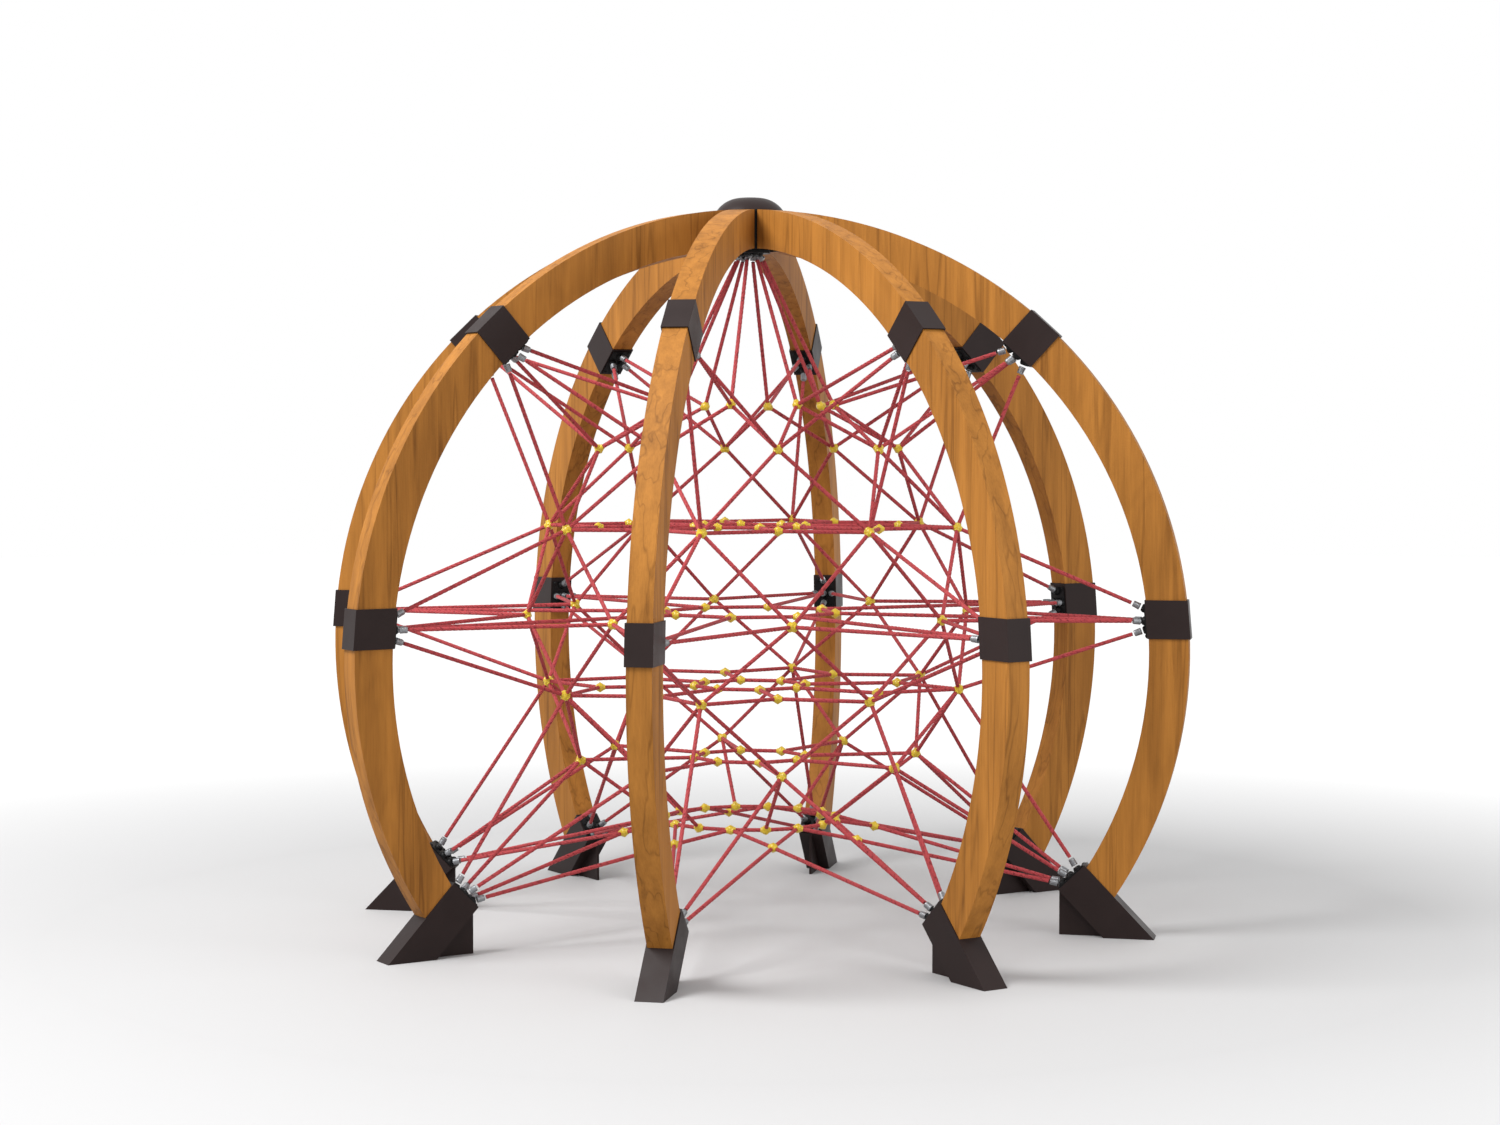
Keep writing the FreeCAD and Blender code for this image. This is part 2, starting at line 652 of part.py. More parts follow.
def hub_cap():
    body = doc.addObject("PartDesign::Body", "HubCap")
    sketch = new_sketch(body, "CapProfile", "XZ_Plane")
    hole = "(king_bolt_radius + king_hole_gap)"
    sink = "(king_head_radius + king_hole_gap)"
    under = "(cap_height - cap_top_plate)"
    corners = [("cap_radius - cap_wall", "0"), ("cap_radius", "0"), ("cap_flat_radius", "cap_height"),
               (sink, "cap_height"), (hole, f"cap_height - ({sink} - {hole})"), (hole, under),
               ("cap_flat_radius - cap_wall / 2", under)]
    points = [vector(x, z, 0) for x, z in corners]
    count = len(points)
    curves = {1: "cap_curve_radius", count - 1: "cap_curve_radius - cap_wall"}
    for index in range(count):
        start = points[index]
        end = points[(index + 1) % count]
        if index == 1:
            sketch.addGeometry(cap_arc(start, end, number(curves[index])), False)
        elif index == count - 1:
            sketch.addGeometry(cap_arc(end, start, number(curves[index])), False)
        else:
            sketch.addGeometry(Part.LineSegment(start, end), False)
    last = count - 1
    for index in range(count):
        following = (index + 1) % count
        leave = 1 if index == last else 2
        enter = 2 if following == last else 1
        sketch.addConstraint(Sketcher.Constraint("Coincident", index, leave, following, enter))
    for index, (x, z) in enumerate(corners):
        hold(sketch, index, 2 if index == last else 1, x, z)
    for curve, radius in curves.items():
        radius_of(sketch, curve, radius)
    turn = body.newObject("PartDesign::Revolution", "CapTurn")
    turn.Profile = sketch
    turn.ReferenceAxis = (sketch, ["V_Axis"])
    turn.Angle = 360
    body.setExpression("Placement.Base.z", bound(HUB_TOP))
    node(body, "hub_cap")


def king_bolt_and_nut():
    """One long bolt holds the cap, the hub core and the rope plate together."""
    down = FreeCAD.Vector(0, 0, -1)
    top = vector(0, 0, f"{HUB_TOP} + cap_height")
    head = add("Part::Cone", "KingHead", Radius1="king_head_radius", Radius2="king_bolt_radius",
               Height="king_head_radius - king_bolt_radius")
    head.Placement = facing(top, down)
    length = (f"{HUB_TOP} + cap_height - {ROPE_PLATE_BOTTOM}"
              " + king_nut_height + king_bolt_end")
    shank = rod("KingShank", "king_bolt_radius", length, top, down)
    socket = add("Part::Prism", "KingSocket", Circumradius="king_bolt_radius * 0.65",
                 Height="king_bolt_radius * 0.8")
    socket.Placement = facing(top, down)
    node(cut("KingBolt", fused("KingBlank", [head, shank]), socket), "king_bolt")
    nut = add("Part::Prism", "NutBlank", Circumradius="king_nut_size", Height="king_nut_height")
    nut.Placement = facing(vector(0, 0, ROPE_PLATE_BOTTOM), down)
    bore = rod("NutBore", "king_bolt_radius + king_hole_gap / 2", "king_nut_height + 4",
               vector(0, 0, f"{ROPE_PLATE_BOTTOM} + 2"), down)
    node(cut("KingNut", nut, bore), "king_nut")


def hub_bolts():
    inward = FreeCAD.Vector(-1, 0, 0)
    bolts = []
    for index, place in enumerate(hub_bolt_places()):
        bearing = place - FreeCAD.Vector(number("hub_wall"), 0, 0)
        head = add("Part::Prism", f"HubBoltHead{index}", Circumradius="bolt_head_radius",
                   Height="bolt_head_height")
        head.Placement = facing(bearing, inward)
        shank = rod(f"HubBoltShank{index}", "bolt_radius", "hub_wall + hub_bolt_embed",
                    bearing, inward * -1)
        bolts.append(fused(f"HubBolt{index}", [head, shank]))
    ring_node("hub_bolts", bolts)


def foot_bolts():
    bolts = []
    for index, place in enumerate(foot_bolt_places()):
        head = add("Part::Prism", f"FootBoltHead{index}", Circumradius="bolt_head_radius",
                   Height="bolt_head_height")
        head.Placement = facing(place, seat_normal() * -1)
        shank = rod(f"FootBoltShank{index}", "bolt_radius", "shoe_wall + foot_bolt_embed",
                    place, seat_normal())
        bolts.append(fused(f"FootBolt{index}", [head, shank]))
    ring_node("foot_bolts", bolts)


# ---------------------------------------------------------------- rope anchors

def half_ball(name, radius, centre, way):
    dome = add("Part::Sphere", name, Radius=radius)
    dome.Angle1 = 0
    dome.Angle2 = 90
    dome.Angle3 = 360
    dome.Placement = facing(centre, way)
    return dome


def stay_ends(site, stay):
    """A stay's start on its anchor dome, and its way to the connector."""
    along, across, ring, step = stay
    start = site.place(along, across, number("plate_thickness"))
    way = net_point(ring, step) - start
    return start, way.normalize()


def anchor(name, site):
    tag = name.title()
    plate = add("Part::Box", tag + "Plate", Length="plate_length", Width="plate_width",
                Height="plate_thickness")
    corner = site.place(-number("plate_length / 2"), -number("plate_width / 2"), 0)
    plate.Placement = plate_placement(site, corner)
    domes = []
    tools = []
    for index, stay in enumerate(STAYS[name]):
        start, way = stay_ends(site, stay)
        domes.append(half_ball(f"{tag}Dome{index}", "dome_radius", start, site.out))
        tools.append(rod(f"{tag}Facet{index}", "dome_radius - 4", "dome_radius",
                         start + way * number("ferrule_setback"), way))
    for index, (along, across) in enumerate(screw_spots(name)):
        tools.append(rod(f"{tag}ScrewHole{index}", "screw_radius + hole_gap",
                         "plate_thickness + 4", site.place(along, across, -2), site.out))
    blank = fused(tag + "Blank", [plate] + domes)
    ring_node(f"{name}_rope_anchors", [cut(tag + "Anchor", blank, fused(tag + "Tools", tools))])


def plate_placement(site, corner):
    """A box laid on the site: its length along, its width across and its height out."""
    across = site.out.cross(site.along)
    turn = FreeCAD.Rotation(site.along, across, site.out, "ZXY")
    if across.y < 0:
        corner = corner - across * number("plate_width")
    return FreeCAD.Placement(corner, turn)


def anchor_screws():
    screws = []
    for name, site in SITES.items():
        grip = "screw_short_grip" if name == "foot" else "screw_grip"
        for index, (along, across) in enumerate(screw_spots(name)):
            seat = site.place(along, across, number("plate_thickness"))
            tag = f"{name.title()}Screw{index}"
            head = add("Part::Cone", tag + "Head", Radius1="screw_head_radius",
                       Radius2="screw_head_radius * 0.7", Height="screw_head_height")
            head.Placement = facing(seat, site.out)
            shank = rod(tag + "Shank", "screw_radius", f"plate_thickness + {grip}",
                        seat, site.out * -1)
            screws.append(fused(tag, [head, shank]))
    ring_node("anchor_screws", screws)


# ---------------------------------------------------------------- ferrules, ropes, connectors

def ferrule(name, start, way, radius, tip, length, setback):
    piece = add("Part::Cone", name, Radius1=radius, Radius2=tip, Height=length)
    piece.Placement = facing(start + way * number(setback), way)
    return piece


def rope(name, start, end):
    way = end - start
    length = way.Length
    piece = add("Part::Cylinder", name, Radius="rope_diameter / 2")
    piece.Height = length
    piece.Placement = facing(start, way)
    return piece


def net_rope(name, run):
    first, first_step, second, second_step = run
    start = net_point(first, first_step)
    end = net_point(second, second_step)
    way = (end - start).normalize()
    trim = way * number(SOCKET_REACH)
    return rope(name, start + trim, end - trim)


def stay_rope(name, start, way, hidden, ring, step):
    end = net_point(ring, step) - way * number(SOCKET_REACH)
    return rope(name, start + way * number(hidden), end)


def net_and_stay_ropes():
    start, way = hub_stay()
    crown = [stay_rope("CrownRope", start, way, "hub_setback + hub_ferrule_length", "crown", 0)]
    for label, runs in NET_ROPES.items():
        pieces = [net_rope(f"{label}_{index}", run) for index, run in enumerate(runs)]
        if label == "dome_net_ropes":
            pieces += crown
        ring_node(label, pieces)
    ferrules = []
    for name, stays in STAYS.items():
        pieces = []
        for index, stay in enumerate(stays):
            start, way = stay_ends(SITES[name], stay)
            tag = f"{name.title()}Stay{index}"
            pieces.append(stay_rope(tag, start, way, "ferrule_setback + ferrule_length", *stay[2:]))
            ferrules.append(ferrule(tag + "Ferrule", start, way, "ferrule_radius", FERRULE_TIP,
                                    "ferrule_length", "ferrule_setback"))
        ring_node(f"{name}_stay_ropes", pieces)
    ring_node("stay_ferrules", ferrules)
    start, way = hub_stay()
    ring_node("hub_ferrules", [ferrule("HubFerrule", start, way, "hub_ferrule_radius",
                                       HUB_FERRULE_TIP, "hub_ferrule_length", "hub_setback")])


def rope_ways(ring):
    """The ways in which ropes leave a ring's connector in sector 0."""
    centre = net_point(ring, 0)
    ways = []
    for runs in NET_ROPES.values():
        for first, first_step, second, second_step in runs:
            if first == ring:
                ways.append(net_point(second, second_step - first_step) - centre)
            if second == ring:
                ways.append(net_point(first, first_step - second_step) - centre)
    for name, stays in STAYS.items():
        for stay in stays:
            if stay[2] == ring:
                start, _ = stay_ends(SITES[name], stay)
                back = FreeCAD.Rotation(FreeCAD.Vector(0, 0, 1), -360.0 / LEGS * stay[3])
                ways.append(back.multVec(start) - centre)
    if ring == "crown":
        ways.append(hub_stay()[0] - centre)
    return [way.normalize() for way in ways]


def many_sided_ball(name, centre):
    """A ball with flat facets: what three crossing octagonal bars have in common."""
    sides = 8
    bars = []
    for index, way in enumerate(((1, 0, 0), (0, 1, 0), (0, 0, 1))):
        bar = add("Part::Prism", f"{name}_bar_{index}", Circumradius=f"ball_radius / cos(180 / {sides})",
                  Height="4 * ball_radius")
        bar.Polygon = sides
        spin = FreeCAD.Rotation(FreeCAD.Vector(0, 0, 1), 180.0 / sides)
        axis = FreeCAD.Vector(*way)
        turn = FreeCAD.Rotation(FreeCAD.Vector(0, 0, 1), axis).multiply(spin)
        bar.Placement = FreeCAD.Placement(centre - axis * number("2 * ball_radius"), turn)
        bars.append(bar)
    ball = doc.addObject("Part::MultiCommon", name)
    ball.Shapes = bars
    return ball


def connector(ring):
    centre = net_point(ring, 0)
    ball = many_sided_ball(f"{ring}_ball", centre)
    sockets = [rod(f"{ring}_socket_{index}", SOCKET_RADIUS, SOCKET_REACH, centre, way)
               for index, way in enumerate(rope_ways(ring))]
    return fused(f"{ring}_connector", [ball] + sockets)


# ---------------------------------------------------------------- build and write

def build():
    for leg in range(LEGS):
        arch_beam(leg)
        shoe(leg)
        collar(leg, "middle", "middle_angle", True)
        collar(leg, "upper", "upper_angle", False)
    hub_core()
    hub_rope_plate()
    hub_cap()
    king_bolt_and_nut()
    hub_bolts()
    foot_bolts()
    for name, site in SITES.items():
        anchor(name, site)
    anchor_screws()
    net_and_stay_ropes()
    for label, rings in CONNECTOR_NODES.items():
        ring_node(label, [connector(ring) for ring in rings])
    doc.recompute()


def check():
    for item in doc.Objects:
        if "Invalid" in item.State or "Error" in item.State:
            raise RuntimeError(f"{item.Label} failed: {item.State}")
    for piece in nodes:
        if piece.Shape.isNull() or not piece.Shape.isValid():
            raise RuntimeError(f"{piece.Label} has no valid shape")


def write():
    os.makedirs("parts", exist_ok=True)
    for piece in nodes:
        piece.Shape.exportStep(os.path.join("parts", piece.Label + ".step"))
        print(piece.Label, len(piece.Shape.Solids), round(piece.Shape.Volume / 1e6, 3))


build()
check()
write()
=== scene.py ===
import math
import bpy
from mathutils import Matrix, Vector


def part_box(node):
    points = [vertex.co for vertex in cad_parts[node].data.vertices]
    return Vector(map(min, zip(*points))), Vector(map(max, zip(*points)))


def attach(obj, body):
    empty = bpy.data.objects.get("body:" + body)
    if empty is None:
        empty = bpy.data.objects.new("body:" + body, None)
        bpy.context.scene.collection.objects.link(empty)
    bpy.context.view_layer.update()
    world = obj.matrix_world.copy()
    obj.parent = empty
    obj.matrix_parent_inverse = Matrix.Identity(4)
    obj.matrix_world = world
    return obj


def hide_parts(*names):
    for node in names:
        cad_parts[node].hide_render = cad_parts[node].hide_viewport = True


bl_info = {
    "name": "Dome climber",
    "version": (1, 0, 0),
    "blender": (4, 5, 0),
    "location": "View3D > Sidebar > Dome climber",
    "description": "Finishes a timber dome climber: arches, steel, ropes, connectors and a stage",
    "category": "Object",
}

import bmesh
import bpy
from bpy.props import (FloatProperty, FloatVectorProperty, IntProperty,
                       PointerProperty)
from mathutils import Matrix, Vector

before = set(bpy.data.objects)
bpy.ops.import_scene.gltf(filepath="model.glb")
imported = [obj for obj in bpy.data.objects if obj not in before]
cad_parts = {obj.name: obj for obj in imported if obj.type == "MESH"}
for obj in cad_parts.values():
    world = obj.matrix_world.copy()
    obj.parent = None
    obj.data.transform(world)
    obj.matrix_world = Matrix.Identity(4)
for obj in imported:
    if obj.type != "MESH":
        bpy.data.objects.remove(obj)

# Lengths are in metres.  The dome stands on the ground at the origin with Z up, and
# arch 1 is towards -Y.

LEGS = range(1, 9)
LEG_STEP = math.tau / len(LEGS)
ROPE_NODES = ["dome_net_ropes", "upper_deck_ropes", "waist_net_ropes", "lower_deck_ropes",
              "skirt_net_ropes", "floor_net_ropes", "upper_stay_ropes", "middle_stay_ropes",
              "foot_stay_ropes"]
CONNECTOR_NODES = ["dome_net_connectors", "upper_deck_connectors", "waist_connectors",
                   "lower_deck_connectors", "skirt_connectors", "floor_connectors"]
FERRULE_NODES = ["stay_ferrules", "hub_ferrules"]
FASTENER_NODES = ["king_bolt", "king_nut", "hub_bolts", "foot_bolts", "anchor_screws"]
BLACK_NODES = ["hub_core", "hub_rope_plate", "upper_rope_anchors", "middle_rope_anchors",
               "foot_rope_anchors"]
WELD = 1e-5                    # joins the loose corners of one solid
FLAT = math.radians(0.4)       # neighbours this flat are one face
SHARP = math.radians(38)       # edges that a maker would break
NEAR_BALL = 0.060              # a rope that ends this close to a ball belongs to it
ROPE_INTO_BALL = 0.7           # how far a rope goes on towards the ball's centre
SECTIONS_PER_LAY = 12          # rope sections in one turn of its strands
CORNERS_PER_STRAND = 3         # corners of the rope's section for each strand
WHITE = (1.0, 1.0, 1.0, 1.0)
BLACK = (0.0, 0.0, 0.0, 1.0)


# ---------------------------------------------------------------- settings

def length(name, description, default):
    return FloatProperty(name=name, description=description, default=default, min=0.0,
                         precision=4, unit="LENGTH")


def share(name, description, default):
    return FloatProperty(name=name, description=description, default=default, min=0.0,
                         max=1.0, subtype="FACTOR")


def colour(name, description, default):
    return FloatVectorProperty(name=name, description=description, default=default, size=3,
                               min=0.0, max=1.0, subtype="COLOR")


class TimberSettings(bpy.types.PropertyGroup):
    streak: length("Streak", "Usual distance between the wood's darker streaks", 0.056)
    edge: length("Edge", "Rounding of the arch's long edges", 0.005)
    pale: colour("Pale wood", "Early wood under the stain", (0.385, 0.158, 0.028))
    deep: colour("Deep wood", "Late wood and darker streaks", (0.165, 0.062, 0.010))
    gloss: share("Varnish", "Strength of the clear coat", 0.02)


class SteelSettings(bpy.types.PropertyGroup):
    edge: length("Edge", "Rounding of folded and cut steel edges", 0.0014)
    brown: colour("Brown coat", "Powder coat of the shoes, collars and cap",
                  (0.0185, 0.0115, 0.0108))
    black: colour("Black coat", "Powder coat of the hub and the rope anchors",
                  (0.006, 0.006, 0.0065))
    zinc: colour("Zinc", "Plating of bolts and screws", (0.42, 0.42, 0.43))
    roughness: share("Coat roughness", "Roughness of the powder coat", 0.42)


class RopeSettings(bpy.types.PropertyGroup):
    strands: IntProperty(name="Strands", description="Strands laid round the rope's core",
                         default=6, min=3, max=9)
    lay: length("Lay", "Length in which a strand goes once round", 0.150)
    groove: share("Groove", "Depth of the valleys as a share of the rope's radius", 0.19)
    colour: colour("Rope", "Colour of the wrapped strands", (0.40, 0.050, 0.056))
    fleck: colour("Fleck", "Darker yarns in the strands", (0.10, 0.006, 0.009))


class ConnectorSettings(bpy.types.PropertyGroup):
    ball: length("Ball", "Radius of the moulded ball", 0.0208)
    lip: length("Lip", "Radius of the lip round each rope", 0.0112)
    colour: colour("Connector", "Colour of the moulded balls", (0.62, 0.43, 0.012))


class FerruleSettings(bpy.types.PropertyGroup):
    colour: colour("Ferrule", "Pressed aluminium ferrules", (0.30, 0.31, 0.325))
    roughness: share("Roughness", "Roughness of the pressed metal", 0.44)


class StageSettings(bpy.types.PropertyGroup):
    floor: length("Floor", "Radius of the round floor", 40.0)
    floor_colour: colour("Floor colour", "Pale studio floor", (0.44, 0.44, 0.443))
    fade_start: length("Fade start", "Radius where the floor starts to turn white", 3.2)
    fade_end: length("Fade end", "Radius where the floor is as white as the sky", 7.0)
    distance: length("Camera distance", "From the dome's axis to the camera", 12.7116)
    height: length("Camera height", "Camera above the ground", 2.249)
    azimuth: FloatProperty(name="Camera azimuth", description="Turn of the camera towards +X",
                           default=math.radians(12.5), subtype="ANGLE", unit="ROTATION")
    pitch: FloatProperty(name="Camera pitch", description="How far the camera looks down",
                         default=math.radians(2.64), subtype="ANGLE", unit="ROTATION")
    lens: FloatProperty(name="Lens", description="Focal length in millimetres", default=66.51,
                        min=1.0)
    sky: FloatProperty(name="Sky", description="Strength of the white surroundings",
                       default=1.0, min=0.0)
    key: FloatProperty(name="Key light", description="Power of the main soft light",
                       default=1850.0, min=0.0, unit="POWER")


# ---------------------------------------------------------------- solids from the frame

def joined(node):
    """A node's loose triangles as one closed mesh."""
    bm = bmesh.new()
    bm.from_mesh(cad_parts[node].data)
    bmesh.ops.remove_doubles(bm, verts=bm.verts, dist=WELD)
    return bm


def solids(bm):
    """The separate solids of a mesh, each as a list of its corners."""
    seen = set()
    groups = []
    for first in bm.verts:
        if first in seen:
            continue
        seen.add(first)
        group = [first]
        for corner in group:
            for edge in corner.link_edges:
                other = edge.other_vert(corner)
                if other not in seen:
                    seen.add(other)
                    group.append(other)
        groups.append(group)
    return groups


def middle(corners):
    """The mean of the corners' places."""
    return sum((corner.co for corner in corners), Vector()) / len(corners)


def rod_ends(corners):
    """(centre, radius) of both end circles of a straight rod or cone, the wider one first."""
    centre = middle(corners)
    far = max(corners, key=lambda corner: (corner.co - centre).length).co - centre
    ends = []
    for side in (1, -1):
        ring = [corner for corner in corners if (corner.co - centre).dot(far) * side > 0]
        at = middle(ring)
        ends.append((at, sum((corner.co - at).length for corner in ring) / len(ring)))
    return sorted(ends, key=lambda end: -round(end[1], 5))


def rods(node):
    """Both end circles of every rod in a node, as rod_ends gives them."""
    bm = joined(node)
    found = [rod_ends(group) for group in solids(bm)]
    bm.free()
    return found


def along(start, way):
    """The place and turn that carries +Z at the origin to way at start."""
    return Matrix.Translation(start) @ way.to_track_quat("Z", "Y").to_matrix().to_4x4()


# ---------------------------------------------------------------- finished pieces

def mark_sharp(bm):
    """Shades every face smooth, apart from the edges that turn sharply."""
    for face in bm.faces:
        face.smooth = True
    for edge in bm.edges:
        edge.smooth = len(edge.link_faces) == 2 and edge.calc_face_angle(math.pi) < SHARP


def new_piece(name, bm, material, slot, *nodes, weighted=True):
    """Turns a mesh into a shown piece that stands for its nodes.

    A weighted piece's flat faces stay flat in the shading beside its rounded edges.
    """
    mark_sharp(bm)
    mesh = bpy.data.meshes.new(name)
    bm.to_mesh(mesh)
    bm.free()
    piece = bpy.data.objects.new(name, mesh)
    bpy.context.scene.collection.objects.link(piece)
    mesh.materials.append(material)
    if weighted:
        normals = piece.modifiers.new("Even faces", "WEIGHTED_NORMAL")
        normals.keep_sharp = True
    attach(piece, "root")
    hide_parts(*nodes)


def eased(node, radius, segments):
    """A node as one clean mesh with its sharp edges rounded."""
    bm = joined(node)
    bmesh.ops.dissolve_limit(bm, angle_limit=FLAT, verts=bm.verts, edges=bm.edges,
                             use_dissolve_boundaries=False, delimit=set())
    sharp = [edge for edge in bm.edges if edge.is_manifold
             and edge.calc_face_angle(0) > SHARP]
    bmesh.ops.bevel(bm, geom=sharp, offset=radius, offset_type="OFFSET", affect="EDGES",
                    segments=segments, profile=0.5, material=-1, clamp_overlap=True)
    return bm


def stamp(bm, shape, place):
    """Adds a copy of a small shape at a place."""
    first = len(bm.verts)
    bm.from_mesh(shape)
    bm.verts.ensure_lookup_table()
    bmesh.ops.transform(bm, matrix=place, verts=bm.verts[first:])


def turned(profile, steps):
    """A closed round shape about Z from (radius, height) points, which end on the axis."""
    bm = bmesh.new()
    corners = [bm.verts.new((radius, 0, height)) for radius, height in profile]
    edges = [bm.edges.new(pair) for pair in zip(corners, corners[1:])]
    bmesh.ops.spin(bm, geom=corners + edges, cent=(0, 0, 0), axis=(0, 0, 1), dvec=(0, 0, 0),
                   angle=math.tau, steps=steps, use_merge=True, use_duplicate=False)
    bmesh.ops.remove_doubles(bm, verts=bm.verts, dist=WELD)
    bmesh.ops.recalc_face_normals(bm, faces=bm.faces)
    mesh = bpy.data.meshes.new("turned")
    bm.to_mesh(mesh)
    bm.free()
    return mesh


# ---------------------------------------------------------------- material helpers

FULL_NAMES = {"Coat": "Coat Weight", "Coat roughness": "Coat Roughness",
              "Specular": "Specular IOR Level"}


class Finish:
    """One procedural material, built node by node."""

    def __init__(self, name, **values):
        self.material = bpy.data.materials.new(name)
        self.material.use_nodes = True
        self.tree = self.material.node_tree
        self.shader = self.tree.nodes["Principled BSDF"]
        for socket, value in values.items():
            socket = socket.replace("_", " ").capitalize()
            self.shader.inputs[FULL_NAMES.get(socket, socket)].default_value = value

    def node(self, kind, inputs=(), **settings):
        made = self.tree.nodes.new("ShaderNode" + kind)
        for setting, value in settings.items():
            setattr(made, setting, value)
        for socket, value in dict(inputs).items():
            self.feed(made.inputs[socket], value)
        return made

    def feed(self, socket, value):
        if isinstance(value, bpy.types.NodeSocket):
            self.tree.links.new(value, socket)
        else:
            socket.default_value = value

    def place(self):
        return self.node("TexCoord").outputs["Object"]

    def scaled(self, place, scale):
        return self.node("Mapping", {"Vector": place, "Scale": scale}).outputs["Vector"]

    def noise(self, place, scale, detail=2.0, roughness=0.5, distortion=0.0):
        """Noise with one scale, or with one for each axis."""
        if isinstance(scale, tuple):
            place, scale = self.scaled(place, scale), 1.0
        return self.node("TexNoise", {"Vector": place, "Scale": scale, "Detail": detail,
                                      "Roughness": roughness,
                                      "Distortion": distortion}).outputs["Fac"]

    def worked(self, operation, first, second=0.0):
        """One step of arithmetic on one or two values."""
        return self.node("Math", {0: first, 1: second}, operation=operation).outputs[0]

    def ranged(self, value, low, high, to_low=0.0, to_high=1.0):
        return self.node("MapRange", {"Value": value, "From Min": low, "From Max": high,
                                      "To Min": to_low, "To Max": to_high},
                         clamp=True).outputs["Result"]

    def mix(self, factor, first, second):
        """A colour between two others.  A colour mix has its own sockets: 6, 7 and 2."""
        made = self.node("Mix", data_type="RGBA")
        for socket, value in ((0, factor), (6, first), (7, second)):
            self.feed(made.inputs[socket], value)
        return made.outputs[2]

    def bump(self, height, strength, distance):
        """Raises the surface by a distance in metres where the height is 1."""
        made = self.node("Bump", {"Height": height, "Strength": strength,
                                  "Distance": distance})
        self.feed(self.shader.inputs["Normal"], made.outputs["Normal"])


def opaque(rgb, brightness=1.0):
    """A colour setting as a shader colour."""
    return (*(value * brightness for value in rgb), 1.0)


# ---------------------------------------------------------------- timber

# How often the wood's marks repeat in a metre: both ways across the grain, then along it.
FIGURE_SCALE = (5.0, 5.0, 0.9)
FIBRE_SCALE = (150.0, 150.0, 6.0)
CLOUD_SCALE = (3.0, 3.0, 1.2)
# The same for streaks and veins, as shares of one over the streak setting.
STREAK_ALONG = 0.045
VEIN_ACROSS = 0.75
VEIN_ALONG = 0.03
RING_STEPS = 60.0              # turns the figure into about ten growth rings


def stained_timber(timber):
    """Oiled wood with an upright grain: soft streaks a streak apart, then finer fibres.

    Each part adds its share of the deep colour, from where it is weak to where it is full.
    """
    finish = Finish("stained_timber", Roughness=0.6, Coat=timber.gloss, Coat_roughness=0.3,
                    Specular=0.12)
    place = finish.node("Attribute", attribute_name="grain").outputs["Vector"]
    wide = 1.0 / timber.streak
    streak = finish.noise(place, (wide, wide, wide * STREAK_ALONG), distortion=0.35)
    across = wide * VEIN_ACROSS
    contour = finish.noise(place, (across, across, wide * VEIN_ALONG), roughness=0.45,
                           distortion=0.25)
    vein = finish.worked("ABSOLUTE", finish.worked("SUBTRACT", contour, 0.5))
    figure = finish.noise(place, FIGURE_SCALE, detail=1.0, distortion=0.4)
    rings = finish.worked("SINE", finish.worked("MULTIPLY", figure, RING_STEPS))
    fibre = finish.noise(place, FIBRE_SCALE, detail=4.0, roughness=0.62)
    cloud = finish.noise(place, CLOUD_SCALE)

    depth = finish.ranged(streak, 0.30, 0.70, -0.05, 0.39)
    for part in (finish.ranged(vein, 0.0, 0.030, 0.40, 0.0),
                 finish.ranged(rings, -0.4, 1.0, 0.0, 0.08),
                 finish.ranged(fibre, 0.34, 0.68, 0.0, 0.24),
                 finish.ranged(cloud, 0.3, 0.7, -0.12, 0.18)):
        depth = finish.worked("ADD", depth, part)
    wood = finish.mix(finish.ranged(depth, 0.0, 1.0), opaque(timber.pale),
                      opaque(timber.deep))
    finish.feed(finish.shader.inputs["Base Color"], wood)
    finish.bump(fibre, strength=0.12, distance=0.001)
    return finish.material


GRAIN_SHIFT = Vector((0.61, 1.27, 2.3))    # moves the pattern on from one arch to the next


def lay_grain(bm, leg):
    """Writes each corner's place in its leg's own axes, so that boards stand upright."""
    turn = Matrix.Rotation(math.pi / 2 - LEG_STEP * (leg - 1), 4, "Z")
    shift = GRAIN_SHIFT * leg
    grain = bm.verts.layers.float_vector.new("grain")
    for corner in bm.verts:
        corner[grain] = turn @ corner.co + shift


class DOME_OT_timber_arches(bpy.types.Operator):
    """Makes the eight glued timber arches with rounded edges"""
    bl_idname = "dome_climber.timber_arches"
    bl_label = "Timber arches"

    def execute(self, context):
        timber = context.scene.dome_timber
        material = stained_timber(timber)
        for leg in LEGS:
            bm = eased(f"arch_beam_{leg}", timber.edge, segments=3)
            lay_grain(bm, leg)
            new_piece(f"timber_arch_{leg}", bm, material, "timber", f"arch_beam_{leg}")
        return {"FINISHED"}


# ---------------------------------------------------------------- coated steel

FITTING_EDGE = 0.6             # edges of small parts, as a share of the steel's edge
FASTENER_EDGE = 0.5


def powder_coat(name, rgb, roughness):
    """Satin coat with a faint orange peel and a little dust."""
    finish = Finish(name, Specular=0.14)
    place = finish.place()
    dust = finish.noise(place, 6.0, detail=4.0, roughness=0.6)
    coat = finish.mix(finish.ranged(dust, 0.35, 0.75, 0.0, 0.5), opaque(rgb),
                      opaque(rgb, brightness=1.4))
    finish.feed(finish.shader.inputs["Base Color"], coat)
    finish.feed(finish.shader.inputs["Roughness"],
                finish.ranged(dust, 0.3, 0.7, roughness - 0.06, roughness + 0.08))
    peel = finish.noise(place, 900.0, detail=1.0)
    finish.bump(peel, strength=0.08, distance=0.0006)
    return finish.material


